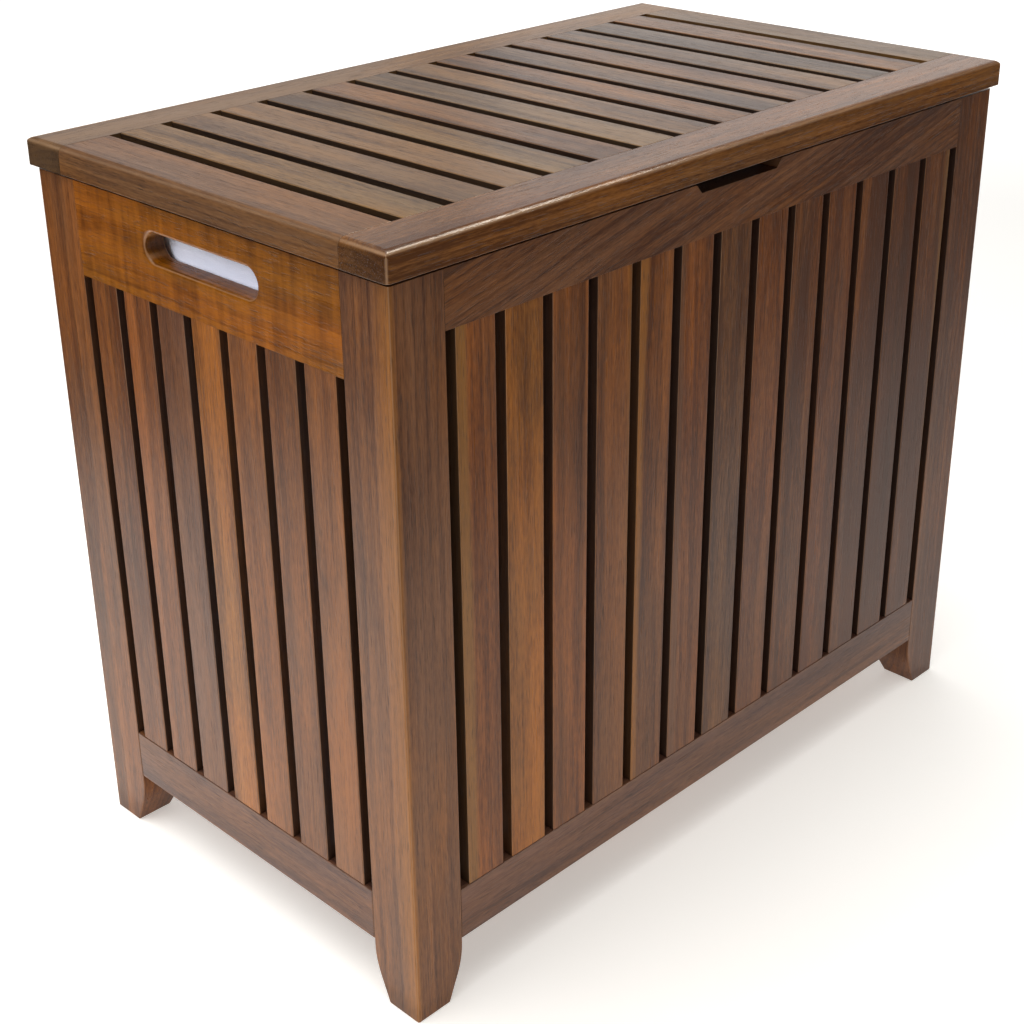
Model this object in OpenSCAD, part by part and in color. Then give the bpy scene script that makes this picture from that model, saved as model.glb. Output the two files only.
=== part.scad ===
// Slatted teak laundry hamper with a hinged lid and a hanging cloth bag.
// The origin is the centre of the footprint, on the floor.
// +X runs along the front to the right, -Y is the front and +Z is up.

/* [Body] */
// Length of the body, along the front
body_l = 600; // [540:1:660]
// Depth of the body, front to rear
body_w = 342; // [310:1:380]
// Height of the body, from the floor to the top of its rails
body_h = 503.5; // [460:0.5:560]
// Side of the square corner posts
post_w = 40.5; // [38:0.5:44]
// Thickness of the wall rails
rail_t = 16; // [15:0.5:18]
// Height of the four bottom rails
bottom_rail_h = 38.5; // [36:0.5:44]
// Height of the front and rear top rails
top_rail_h = 36; // [32:0.5:42]
// Height of the two end top rails, which carry the hand slots
end_rail_h = 64; // [58:0.5:72]

/* [Feet] */
// Clear height under the bottom rails
foot_h = 46; // [44:1:60]
// Upright part of a foot, just under the rails
foot_neck = 4; // [2:1:8]
// Radius of the curve where the foot begins to taper
foot_arc_r = 60; // [40:5:80]
// Angle of the tapered face below that curve, measured from upright
foot_lean = 22.5; // [15:0.5:24]

/* [Wall slats] */
// Gap between neighbouring slats
slat_gap = 8; // [6:0.5:10]
// Thickness of the slats
slat_t = 12; // [10:0.5:12.5]
// How far the slats lie behind the outer faces of the rails
slat_set = 0.4; // [0:0.1:1]
// Number of slats in the front wall, and in the rear wall
front_slats = 13; // [9:1:15]
// Number of slats in each end wall
end_slats = 7; // [5:1:9]

/* [Hand slots and finger notch] */
// Length of the opening of a hand slot
hand_slot_l = 112; // [90:1:120]
// Height of the opening of a hand slot
hand_slot_h = 20; // [16:1:26]
// Depth of a hand slot's centre line under the top of its rail
hand_slot_drop = 27.5; // [24:0.5:32]
// Radius of the roundover on both mouths of a hand slot
hand_slot_round = 2.5; // [1:0.5:4]
// Width of the finger notch at the top edge of the front rail
notch_top_w = 89; // [70:1:120]
// Width of the finger notch along its floor
notch_floor_w = 75; // [50:1:80]
// Depth of the finger notch
notch_depth = 6; // [4:0.5:8]

/* [Lid] */
// How far the lid reaches past the body on every side
lid_over = 4.5; // [3:0.5:8]
// Thickness of the lid frame
lid_t = 18; // [16:0.5:22]
// Air gap between the body and the closed lid
lid_gap = 3; // [2.8:0.1:4]
// Width of the four rails of the lid frame
lid_rail_w = 39; // [36:0.5:44]
// Thickness of the lid slats
lid_slat_t = 14; // [12:0.5:16]
// Number of slats in the lid
lid_slats = 13; // [9:1:15]
// Gap between neighbouring lid slats
lid_slat_gap = 8.5; // [6:0.5:10]
// Radius of the roundover along the lid's top edges
lid_round = 5.5; // [2:0.5:8]
// Radius of the lid's upright corners
lid_corner_r = 3.5; // [1:0.5:6]

/* [Floor] */
// Height of the underside of the floor boards
floor_z = 58; // [54:1:64]
// Thickness of the floor boards
floor_t = 9; // [7:0.5:10]
// Number of floor boards
floor_boards = 9; // [7:1:11]
// Gap between neighbouring floor boards
floor_gap = 7; // [4:1:10]

/* [Hinges] */
// Length of one hinge
hinge_l = 60; // [50:1:70]
// Distance of each hinge from the middle of the rear rail
hinge_x = 190; // [150:1:210]
// Thickness of the hinge leaves
leaf_t = 1.3; // [1:0.1:1.35]
// Outer radius of the hinge knuckles
knuckle_r = 2; // [1.8:0.1:2.2]
// Radius of the hinge pin
pin_r = 1; // [0.8:0.1:1.1]
// How far the hinge axis lies inside the rear face of the body
hinge_set_in = 0.45; // [0.3:0.05:0.6]

/* [Bag] */
// Space between the bag and the inner faces of the rails
bag_clear = 3.5; // [3:0.5:6]
// Thickness of the bag's wall
bag_t = 2; // [1.5:0.5:3]
// Distance of the bag's rim below the top of the body
bag_drop = 5; // [4:1:10]
// Spacing of the three studs along the front rail, and along the rear rail
stud_spacing = 200; // [160:1:210]
// Distance of each end stud from the middle of its end rail
end_stud_y = 92; // [75:1:96]

/* [Hidden] */
$fn = 64;
eps = 0.01;

// Joinery
rail_tenon_l = 18;
rail_tenon_t = 8;
rail_shoulder = 5;
slat_tenon_l = 7;
slat_tenon_t = 6;
slat_shoulder = 3;
lid_tenon_l = 15;
lid_tenon_t = 8;
lid_shoulder = 6;
fit_side = 0.1;
fit_end = 0.5;

// Derived sizes of the body
front_clear = body_l - 2 * post_w;
end_clear = body_w - 2 * post_w;
bottom_rail_top = foot_h + bottom_rail_h;
front_slat_w = (front_clear - (front_slats + 1) * slat_gap) / front_slats;
end_slat_w = (end_clear - (end_slats + 1) * slat_gap) / end_slats;
groove_depth = 6;
groove_play = 0.2;
floor_board_w = (front_clear - (floor_boards + 1) * floor_gap) / floor_boards;
floor_board_l = body_w - 2 * (rail_t - groove_depth) - 2 * fit_end;

// Derived sizes of the lid
lid_l = body_l + 2 * lid_over;
lid_w = body_w + 2 * lid_over;
lid_z = body_h + lid_gap;
lid_top = lid_z + lid_t;
lid_clear_l = lid_l - 2 * lid_rail_w;
lid_clear_w = lid_w - 2 * lid_rail_w;
lid_slat_w = (lid_clear_l - (lid_slats + 1) * lid_slat_gap) / lid_slats;

// Hinge axis: halfway up the gap, just inside the rear face of the body,
// so that the lid's rear overhang meets that face a little past 100 degrees
axis_y = body_w / 2 - hinge_set_in;
axis_z = body_h + lid_gap / 2;
knuckles = 5;
knuckle_gap = 0.4;
knuckle_l = (hinge_l - (knuckles - 1) * knuckle_gap) / knuckles;
pin_play = 0.06;
pin_head_r = 1.7;
pin_head_t = 0.8;
leaf_back = 14;
leaf_play = 0.3;
leaf_front_y = body_w / 2 - leaf_back;
leaf_rear_y = axis_y - knuckle_r - leaf_play;

// Hinge screws
screw_spacing = 20;
screw_y = (leaf_front_y + leaf_rear_y) / 2;
screw_l = 14;
screw_r = 1.3;
screw_head_r = 2.6;
screw_play = 0.05;
screw_slot_w = 0.6;
screw_slot_d = 0.5;

// Lid bumpers
bumper_r = 5;
bumper_play = 0.1;

// Bag and the studs that it hangs on
stud_drop = 15;
stud_r = 2;
stud_root = 8;
stud_head_r = 5.5;
stud_head_t = 2.5;
stud_play = 0.3;
stud_z = body_h - stud_drop;
grommet_r = 2.6;
bag_half_l = body_l / 2 - rail_t - bag_clear;
bag_half_w = body_w / 2 - rail_t - bag_clear;
bag_corner_clear = 5;
bag_corner_sum = front_clear / 2 + end_clear / 2 - bag_corner_clear;
bag_bottom = floor_z + floor_t + 0.5;
bag_top = body_h - bag_drop;

// Wood tones, from golden to dark
tones = [[0.62, 0.40, 0.20], [0.47, 0.27, 0.15], [0.38, 0.22, 0.14], [0.29, 0.18, 0.13], [0.52, 0.30, 0.16]];
frame_tone = [0.42, 0.25, 0.15];
brass = [0.72, 0.57, 0.30];

// The four walls, turned from the front wall
FRONT = 0;
RIGHT = 90;
REAR = 180;
LEFT = -90;

FRAME_NODES = [
    "post_front_left", "post_front_right", "post_rear_left", "post_rear_right",
    "top_rail_front", "top_rail_rear", "top_rail_left", "top_rail_right",
    "bottom_rail_front", "bottom_rail_rear", "bottom_rail_left", "bottom_rail_right"];
FRONT_SLAT_NODES = [for (i = [1:front_slats]) str("slat_front_", i)];
LEFT_SLAT_NODES = [for (i = [1:end_slats]) str("slat_left_", i)];
LID_SLAT_NODES = [for (i = [1:lid_slats]) str("lid_slat_", i)];

function tone(i) = tones[(i * 7) % len(tones)];
function is_end(side) = side == LEFT || side == RIGHT;
function wall_clear(side) = is_end(side) ? end_clear : front_clear;
function wall_slats(side) = is_end(side) ? end_slats : front_slats;
function wall_slat_w(side) = is_end(side) ? end_slat_w : front_slat_w;
function wall_top_rail_h(side) = is_end(side) ? end_rail_h : top_rail_h;

// Middle of the i-th of n pieces of width w that share a length, with gaps between them
function piece_x(i, n, w, gap) = (i - (n + 1) / 2) * (w + gap);

// Puts the front wall's frame, with its outer face at y = 0, on one of the four sides
module on_side(side) {
    rotate([0, 0, side])
        translate([0, -(is_end(side) ? body_l : body_w) / 2, 0])
            children();
}

// A block whose x and y are centred on the origin
module block(size) {
    translate([-size[0] / 2, -size[1] / 2, 0])
        cube(size);
}

// ---------------------------------------------------------------- posts

// Side view of a post: upright outside, tapered inside below the rails
module post_outline() {
    arc_z = foot_h - foot_neck;
    arc = [for (a = [0:foot_lean / 6:foot_lean + eps])
        [post_w - foot_arc_r * (1 - cos(a)), arc_z - foot_arc_r * sin(a)]];
    last = arc[len(arc) - 1];
    foot_w = last[0] - last[1] * tan(foot_lean);
    polygon(concat([[0, 0], [0, body_h], [post_w, body_h]], arc, [[foot_w, 0]]));
}

// Mortise for the tenon of a rail that leaves the post along +X
module rail_mortise(z, h) {
    depth = rail_tenon_l + fit_end;
    width = rail_tenon_t + 2 * fit_side;
    translate([post_w - depth, rail_t / 2 - width / 2, z + rail_shoulder - fit_side])
        cube([depth + 1, width, h - 2 * rail_shoulder + 2 * fit_side]);
}

// The two mortises on one inner face of a post
module post_mortises(upper_h) {
    rail_mortise(foot_h, bottom_rail_h);
    rail_mortise(body_h - upper_h, upper_h);
}

// Front left post, with its outer corner at the origin
module corner_post() {
    color(frame_tone)
        difference() {
            intersection() {
                translate([0, post_w, 0])
                    rotate([90, 0, 0])
                        linear_extrude(post_w)
                            post_outline();
                rotate([90, 0, 90])
                    linear_extrude(post_w)
                        post_outline();
            }
            post_mortises(top_rail_h);
            mirror([1, -1, 0])
                post_mortises(end_rail_h);
        }
}

module post_front_left() {
    translate([-body_l / 2, -body_w / 2, 0])
        corner_post();
}

module post_front_right() {
    mirror([1, 0, 0])
        post_front_left();
}

module post_rear_left() {
    mirror([0, 1, 0])
        post_front_left();
}

module post_rear_right() {
    mirror([1, 0, 0])
        post_rear_left();
}

// ---------------------------------------------------------------- wall rails

// A wall rail with a tenon on each end, standing on z = 0
module tenoned_rail(length, h) {
    translate([0, rail_t / 2, 0])
        block([length, rail_t, h]);
    translate([0, rail_t / 2, rail_shoulder])
        block([length + 2 * rail_tenon_l, rail_tenon_t, h - 2 * rail_shoulder]);
}

// Mortises for the slat tenons of one wall, cut upwards from z = 0
module slat_mortises(side) {
    for (i = [1:wall_slats(side)])
        translate([piece_x(i, wall_slats(side), wall_slat_w(side), slat_gap), slat_set + slat_t / 2, -1])
            block([
                wall_slat_w(side) - 2 * slat_shoulder + 2 * fit_side,
                slat_tenon_t + 2 * fit_side,
                slat_tenon_l + fit_end + 1]);
}

// Groove along the inner face of a long bottom rail that holds the floor boards
module floor_groove() {
    translate([0, rail_t - groove_depth / 2 + 0.5, floor_z - foot_h])
        block([front_clear, groove_depth + 1, floor_t + groove_play]);
}

module bottom_rail(side) {
    color(frame_tone)
        on_side(side)
            translate([0, 0, foot_h])
                difference() {
                    tenoned_rail(wall_clear(side), bottom_rail_h);
                    translate([0, 0, bottom_rail_h])
                        mirror([0, 0, 1])
                            slat_mortises(side);
                    if (!is_end(side)) floor_groove();
                }
}

// Blind holes for the bag studs in a rail's inner face
module stud_holes(places) {
    for (x = places)
        translate([x, rail_t + 1, stud_z])
            rotate([90, 0, 0])
                cylinder(r = stud_r + screw_play, h = stud_root + 1 + fit_end);
}

module top_rail_blank(side) {
    difference() {
        translate([0, 0, body_h - wall_top_rail_h(side)])
            difference() {
                tenoned_rail(wall_clear(side), wall_top_rail_h(side));
                slat_mortises(side);
            }
        stud_holes(stud_places(side));
    }
}

// Outline of the finger notch, with a smooth ramp at each end
module notch_outline() {
    steps = 10;
    ramp = (notch_top_w - notch_floor_w) / 2;
    side = [for (i = [0:steps])
        [notch_top_w / 2 - ramp * i / steps, -notch_depth * (1 - cos(180 * i / steps)) / 2]];
    left = [for (i = [steps:-1:0]) [-side[i][0], side[i][1]]];
    polygon(concat([[-notch_top_w / 2, 1], [notch_top_w / 2, 1]], side, left));
}

module top_rail_front() {
    color(frame_tone)
        on_side(FRONT)
            difference() {
                top_rail_blank(FRONT);
                translate([0, rail_t + 1, body_h])
                    rotate([90, 0, 0])
                        linear_extrude(rail_t + 2)
                            notch_outline();
            }
}

module top_rail_rear() {
    color(frame_tone)
        difference() {
            on_side(REAR)
                top_rail_blank(REAR);
            hinge_recess();
            translate([0, 0, body_h])
                mirror([0, 0, 1])
                    pilot_holes();
        }
}

// Section of what the roundover takes away: x is the distance from the slot's
// centre line and y is the depth under the face
module round_section() {
    translate([hand_slot_h / 2, 0])
        difference() {
            translate([0, -1])
                square([hand_slot_round, hand_slot_round + 1]);
            translate([hand_slot_round, hand_slot_round])
                circle(hand_slot_round);
        }
}

// Roundover of the mouth that lies in the plane y = 0
module slot_mouth() {
    reach = hand_slot_l / 2 - hand_slot_h / 2;
    for (x = [-reach, reach])
        translate([x, 0, 0])
            rotate([-90, 0, 0])
                rotate_extrude()
                    round_section();
    for (up = [0, 1])
        mirror([0, 0, up])
            rotate([0, -90, 0])
                linear_extrude(2 * reach, center = true)
                    round_section();
}

// Cutter for a hand slot through an end rail whose outer face is y = 0
module hand_slot() {
    reach = hand_slot_l / 2 - hand_slot_h / 2;
    for (x = [-reach, reach])
        translate([x, rail_t + 1, 0])
            rotate([90, 0, 0])
                cylinder(d = hand_slot_h, h = rail_t + 2);
    translate([-reach, -1, -hand_slot_h / 2])
        cube([2 * reach, rail_t + 2, hand_slot_h]);
    slot_mouth();
    translate([0, rail_t, 0])
        mirror([0, 1, 0])
            slot_mouth();
}

module top_rail_end(side) {
    color(tones[0])
        on_side(side)
            difference() {
                top_rail_blank(side);
                translate([0, 0, body_h - hand_slot_drop])
                    hand_slot();
            }
}

// ---------------------------------------------------------------- slats and floor

module wall_slat(side, i) {
    bottom = bottom_rail_top;
    height = body_h - wall_top_rail_h(side) - bottom;
    color(tone(i))
        on_side(side)
            translate([
                piece_x(i, wall_slats(side), wall_slat_w(side), slat_gap),
                slat_set + slat_t / 2,
                bottom]) {
                block([wall_slat_w(side), slat_t, height]);
                translate([0, 0, -slat_tenon_l])
                    block([
                        wall_slat_w(side) - 2 * slat_shoulder,
                        slat_tenon_t,
                        height + 2 * slat_tenon_l]);
            }
}

module wall_slat_group(side) {
    for (i = [1:wall_slats(side)])
        wall_slat(side, i);
}

module floor_slats() {
    for (i = [1:floor_boards])
        color(tone(i + 1))
            translate([piece_x(i, floor_boards, floor_board_w, floor_gap), 0, floor_z])
                block([floor_board_w, floor_board_l, floor_t]);
}

// ---------------------------------------------------------------- lid

// A strip of width w and thickness t, with its two upper edges rounded
module top_rounded(w, t, r) {
    translate([-w / 2, 0])
        square([w, t - r]);
    translate([-w / 2 + r, 0])
        square([w - 2 * r, t]);
    for (s = [-1, 1])
        translate([s * (w / 2 - r), t - r])
            circle(r);
}

module lid_plan() {
    r = lid_corner_r;
    square([lid_l, lid_w - 2 * r], center = true);
    square([lid_l - 2 * r, lid_w], center = true);
    for (x = [-1, 1], y = [-1, 1])
        translate([x * (lid_l / 2 - r), y * (lid_w / 2 - r)])
            circle(r);
}

// The whole lid as one slab, with all its outer edges shaped
module lid_slab() {
    translate([0, 0, lid_z])
        intersection() {
            linear_extrude(lid_t)
                lid_plan();
            translate([0, lid_w / 2, 0])
                rotate([90, 0, 0])
                    linear_extrude(lid_w)
                        top_rounded(lid_l, lid_t, lid_round);
            translate([-lid_l / 2, 0, 0])
                rotate([90, 0, 90])
                    linear_extrude(lid_l)
                        top_rounded(lid_w, lid_t, lid_round);
        }
}

// Tenon block of a lid piece: width w, centred, reaching past both ends of the clear width
module lid_tenon(w, tenon_l, z, t, play = 0, end_play = 0) {
    translate([0, 0, z - play])
        block([w + 2 * play, lid_clear_w + 2 * tenon_l + 2 * end_play, t + 2 * play]);
}

module lid_slat_tenon(i, play = 0, end_play = 0) {
    translate([piece_x(i, lid_slats, lid_slat_w, lid_slat_gap), 0, 0])
        lid_tenon(
            lid_slat_w - 2 * slat_shoulder,
            slat_tenon_l,
            lid_top - lid_slat_t / 2 - slat_tenon_t / 2,
            slat_tenon_t,
            play,
            end_play);
}

module lid_end_tenon(side_x, play = 0, end_play = 0) {
    translate([side_x * (lid_l - lid_rail_w) / 2, 0, 0])
        lid_tenon(
            lid_rail_w - 2 * lid_shoulder,
            lid_tenon_l,
            lid_z + lid_t / 2 - lid_tenon_t / 2,
            lid_tenon_t,
            play,
            end_play);
}

// Long lid rail on the front (-1) or the rear (1)
module lid_long_rail(side_y) {
    difference() {
        intersection() {
            lid_slab();
            translate([0, side_y * (lid_w - lid_rail_w) / 2, lid_z])
                block([lid_l, lid_rail_w, lid_t]);
        }
        for (i = [1:lid_slats])
            lid_slat_tenon(i, fit_side, fit_end);
        for (x = [-1, 1])
            lid_end_tenon(x, fit_side, fit_end);
    }
}

module lid_rail_front() {
    color(frame_tone)
        lid_long_rail(-1);
}

module lid_rail_rear() {
    color(frame_tone)
        difference() {
            lid_long_rail(1);
            hinge_recess();
            translate([0, 0, lid_z])
                pilot_holes();
        }
}

// Short lid rail on the left (-1) or the right (1), tenoned into the long ones
module lid_end_rail(side_x) {
    color(frame_tone) {
        intersection() {
            lid_slab();
            translate([side_x * (lid_l - lid_rail_w) / 2, 0, lid_z])
                block([lid_rail_w, lid_clear_w, lid_t]);
        }
        lid_end_tenon(side_x);
    }
}

module lid_slat(i) {
    color(tone(i + 2)) {
        translate([piece_x(i, lid_slats, lid_slat_w, lid_slat_gap), 0, lid_top - lid_slat_t])
            block([lid_slat_w, lid_clear_w, lid_slat_t]);
        lid_slat_tenon(i);
    }
}

module lid_bumpers() {
    for (x = [-1, 1])
        color("dimgray")
            translate([x * (body_l - post_w) / 2, -(body_w - post_w) / 2, body_h + bumper_play])
                cylinder(r = bumper_r, h = lid_gap - bumper_play);
}

// ---------------------------------------------------------------- hinges

module at_hinges() {
    for (x = [-hinge_x, hinge_x])
        translate([x, 0, 0])
            children();
}

// A rod along the hinge axis, from x0 to x1
module axis_rod(x0, x1, r) {
    translate([x0, axis_y, axis_z])
        rotate([0, 90, 0])
            cylinder(r = r, h = x1 - x0);
}

// Shallow cove that the knuckles turn in
module hinge_recess() {
    at_hinges()
        axis_rod(-hinge_l / 2 - 2, hinge_l / 2 + 2, knuckle_r + leaf_play);
}

// Pilot holes for the hinge screws, cut upwards from z = 0
module pilot_holes() {
    at_hinges()
        for (x = [-screw_spacing, 0, screw_spacing])
            translate([x, screw_y, -1])
                cylinder(r = screw_r + screw_play, h = screw_l - leaf_t + 2);
}

// A countersunk screw that points up, with its head's flat face at z = 0
module screw_shape(play = 0) {
    cylinder(r1 = screw_head_r + play, r2 = screw_r + play, h = leaf_t);
    translate([0, 0, leaf_t - eps])
        cylinder(r = screw_r + play, h = screw_l - leaf_t);
}

module hinge_screw() {
    difference() {
        screw_shape();
        translate([0, 0, -1])
            block([2 * screw_head_r + 1, screw_slot_w, screw_slot_d + 1]);
    }
}

module at_screws() {
    at_hinges()
        for (x = [-screw_spacing, 0, screw_spacing])
            translate([x, screw_y, 0])
                children();
}

// One set of leaves, with the plate on z0 and the knuckles in the listed places
module hinge_leaves(z0, places) {
    color(brass)
        at_hinges()
            difference() {
                union() {
                    translate([-hinge_l / 2, leaf_front_y, z0])
                        cube([hinge_l, leaf_rear_y - leaf_front_y, leaf_t]);
                    for (k = places) {
                        x0 = -hinge_l / 2 + k * (knuckle_l + knuckle_gap);
                        axis_rod(x0, x0 + knuckle_l, knuckle_r);
                        translate([x0, leaf_rear_y - eps, z0])
                            cube([knuckle_l, axis_y - leaf_rear_y, leaf_t]);
                    }
                }
                axis_rod(-hinge_l, hinge_l, pin_r + pin_play);
            }
}

// Mirrors a body-side screw onto the top face of the body leaves
module facing_down(z) {
    translate([0, 0, z])
        mirror([0, 0, 1])
            children();
}

module hinge_leaves_body() {
    difference() {
        hinge_leaves(body_h, [0, 2, 4]);
        at_screws()
            facing_down(body_h + leaf_t)
                screw_shape(screw_play);
    }
}

module hinge_leaves_lid() {
    difference() {
        hinge_leaves(lid_z - leaf_t, [1, 3]);
        at_screws()
            translate([0, 0, lid_z - leaf_t])
                screw_shape(screw_play);
    }
}

module hinge_pins() {
    color(brass)
        at_hinges() {
            axis_rod(-hinge_l / 2 - pin_head_t, hinge_l / 2 + pin_head_t, pin_r);
            axis_rod(-hinge_l / 2 - pin_head_t, -hinge_l / 2, pin_head_r);
            axis_rod(hinge_l / 2, hinge_l / 2 + pin_head_t, pin_head_r);
        }
}

module hinge_screws_body() {
    color(brass)
        at_screws()
            facing_down(body_h + leaf_t)
                hinge_screw();
}

module hinge_screws_lid() {
    color(brass)
        at_screws()
            translate([0, 0, lid_z - leaf_t])
                hinge_screw();
}

// ---------------------------------------------------------------- bag

function stud_places(side) = is_end(side)
    ? [-end_stud_y, end_stud_y]
    : [-stud_spacing, 0, stud_spacing];

// A round-headed stud that points into the hamper, from the inner face of a rail
module bag_stud() {
    reach = bag_clear + bag_t + stud_play;
    rotate([-90, 0, 0]) {
        translate([0, 0, -stud_root])
            cylinder(r = stud_r, h = stud_root + reach + eps);
        translate([0, 0, reach])
            cylinder(r = stud_head_r, h = stud_head_t / 2);
        translate([0, 0, reach + stud_head_t / 2 - eps])
            cylinder(r1 = stud_head_r, r2 = stud_head_r - stud_head_t / 2, h = stud_head_t / 2);
    }
}

module bag_studs() {
    color(brass)
        for (side = [FRONT, RIGHT, REAR, LEFT])
            on_side(side)
                for (x = stud_places(side))
                    translate([x, rail_t, stud_z])
                        bag_stud();
}

// Plan of the bag, moved in by d, with cut corners that clear the posts
module bag_plan(d) {
    l = bag_half_l - d;
    w = bag_half_w - d;
    sum = bag_corner_sum - d * sqrt(2);
    polygon([
        [l, sum - l], [sum - w, w], [w - sum, w], [-l, sum - l],
        [-l, l - sum], [w - sum, -w], [sum - w, -w], [l, l - sum]]);
}

module laundry_bag() {
    color([0.85, 0.86, 0.94])
        difference() {
            translate([0, 0, bag_bottom])
                linear_extrude(bag_top - bag_bottom)
                    bag_plan(0);
            translate([0, 0, bag_bottom + bag_t])
                linear_extrude(bag_top)
                    bag_plan(bag_t);
            for (side = [FRONT, RIGHT, REAR, LEFT])
                on_side(side)
                    for (x = stud_places(side))
                        translate([x, rail_t + bag_clear + 2 * bag_t, stud_z])
                            rotate([90, 0, 0])
                                cylinder(r = grommet_r, h = 3 * bag_t);
        }
}

// ---------------------------------------------------------------- parts

post_front_left();
post_front_right();
post_rear_left();
post_rear_right();
top_rail_front();
top_rail_rear();
top_rail_end(LEFT);  // top_rail_left
top_rail_end(RIGHT);  // top_rail_right
bottom_rail(FRONT);  // bottom_rail_front
bottom_rail(REAR);  // bottom_rail_rear
bottom_rail(LEFT);  // bottom_rail_left
bottom_rail(RIGHT);  // bottom_rail_right
for (i = [1:front_slats])
    wall_slat(FRONT, i);
for (i = [1:end_slats])
    wall_slat(LEFT, i);
wall_slat_group(REAR);  // slats_rear
wall_slat_group(RIGHT);  // slats_right
floor_slats();
lid_rail_front();
lid_rail_rear();
lid_end_rail(-1);  // lid_rail_left
lid_end_rail(1);  // lid_rail_right
for (i = [1:lid_slats])
    lid_slat(i);
hinge_leaves_body();
hinge_leaves_lid();
hinge_pins();
hinge_screws_body();
hinge_screws_lid();
lid_bumpers();
bag_studs();
laundry_bag();
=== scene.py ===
"""Looks, cloth bag, studio and camera for the slatted teak hamper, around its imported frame."""

import math

import bpy
from mathutils import Euler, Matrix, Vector
from mathutils.noise import fractal


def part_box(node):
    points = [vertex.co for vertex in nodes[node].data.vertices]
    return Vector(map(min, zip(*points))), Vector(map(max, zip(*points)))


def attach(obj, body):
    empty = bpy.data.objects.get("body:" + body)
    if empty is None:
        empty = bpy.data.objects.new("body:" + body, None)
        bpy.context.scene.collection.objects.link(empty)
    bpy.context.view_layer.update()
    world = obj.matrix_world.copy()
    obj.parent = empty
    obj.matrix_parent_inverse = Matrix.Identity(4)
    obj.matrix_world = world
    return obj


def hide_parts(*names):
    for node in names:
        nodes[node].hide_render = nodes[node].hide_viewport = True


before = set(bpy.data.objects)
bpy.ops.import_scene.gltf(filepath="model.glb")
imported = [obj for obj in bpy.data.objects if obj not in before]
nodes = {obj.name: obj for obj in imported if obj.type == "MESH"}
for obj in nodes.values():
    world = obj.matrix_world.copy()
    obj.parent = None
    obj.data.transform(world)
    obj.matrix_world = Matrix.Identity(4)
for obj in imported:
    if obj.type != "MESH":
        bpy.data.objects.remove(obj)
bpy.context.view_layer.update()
scene = bpy.context.scene

MM = 0.001
AXES = {"X": Vector((1, 0, 0)), "Y": Vector((0, 1, 0)), "Z": Vector((0, 0, 1))}
UP = AXES["Z"]

# ------------------------------------------------------------------ camera

CAMERA_PLACE = (-0.8790, -0.8384, 0.8146)
CAMERA_HEADING = 44.55  # degrees from +Y towards +X
CAMERA_DOWN = 25.03  # degrees under the horizon
CAMERA_ROLL = -0.9  # degrees
CAMERA_LENS = 62.1  # mm
CAMERA_SENSOR = 36  # mm
CAMERA_SHIFT = (0.0156, -0.0519)
CAMERA_CLIP = (0.05, 50)  # metres


def make_camera():
    data = bpy.data.cameras.new("camera")
    data.lens = CAMERA_LENS
    data.sensor_width = CAMERA_SENSOR
    data.shift_x, data.shift_y = CAMERA_SHIFT
    data.clip_start, data.clip_end = CAMERA_CLIP
    camera = bpy.data.objects.new("camera", data)
    aim = Euler((0, 0, -math.radians(CAMERA_HEADING))).to_matrix()
    tilt = Euler((math.radians(90 - CAMERA_DOWN), 0, 0)).to_matrix()
    roll = Euler((0, 0, math.radians(CAMERA_ROLL))).to_matrix()
    camera.matrix_world = (aim @ tilt @ roll).to_4x4()
    camera.location = CAMERA_PLACE
    scene.collection.objects.link(camera)
    scene.camera = camera


make_camera()

# ------------------------------------------------------------------ objects and shader nodes


def new_mesh(name, points, faces):
    mesh = bpy.data.meshes.new(name)
    mesh.from_pydata(points, [], faces)
    return mesh


def new_object(name, data):
    thing = bpy.data.objects.new(name, data)
    scene.collection.objects.link(thing)
    return thing


def add(tree, kind, inputs=None, **settings):
    """A new node with its settings. An input that is a socket is linked, and any other is set as a value."""
    node = tree.nodes.new(kind)
    for name, value in settings.items():
        setattr(node, name, value)
    for name, value in (inputs or {}).items():
        if isinstance(value, bpy.types.NodeSocket):
            tree.links.new(value, node.inputs[name])
        else:
            node.inputs[name].default_value = value
    return node


def calc(tree, operation, a, b=0.0, c=0.0):
    return add(tree, "ShaderNodeMath", {0: a, 1: b, 2: c}, operation=operation).outputs[0]


def vector_calc(tree, operation, a, b=(0, 0, 0)):
    node = add(tree, "ShaderNodeVectorMath", {0: a, 1: b}, operation=operation)
    return node.outputs["Value"] if operation in ("LENGTH", "DOT_PRODUCT") else node.outputs[0]


def split(tree, vector):
    """The three parts of a vector."""
    return add(tree, "ShaderNodeSeparateXYZ", {0: vector}).outputs


def ramp(tree, value, low, high, out_low=0.0, out_high=1.0):
    """value eased from low..high to out_low..out_high, and held beyond."""
    inputs = {"Value": value, "From Min": low, "From Max": high, "To Min": out_low, "To Max": out_high}
    return add(tree, "ShaderNodeMapRange", inputs, interpolation_type="SMOOTHSTEP").outputs["Result"]


def mix(tree, share, a, b, blend="MIX"):
    node = add(tree, "ShaderNodeMix", {0: share, 6: a, 7: b}, data_type="RGBA", blend_type=blend)
    return node.outputs[2]


def noise(tree, place, scale, detail=2.0, roughness=0.5, output="Fac"):
    """Noise whose scale is one number, or three along the parts of place, in features per metre."""
    if not isinstance(scale, (int, float)):
        place = vector_calc(tree, "MULTIPLY", place, scale)
        scale = 1.0
    inputs = {"Vector": place, "Scale": scale, "Detail": detail, "Roughness": roughness}
    return add(tree, "ShaderNodeTexNoise", inputs).outputs[output]


def chance(tree, number):
    """A random value from 0 to 1 for each number."""
    return add(tree, "ShaderNodeTexWhiteNoise", {"W": number}, noise_dimensions="1D").outputs["Value"]


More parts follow.
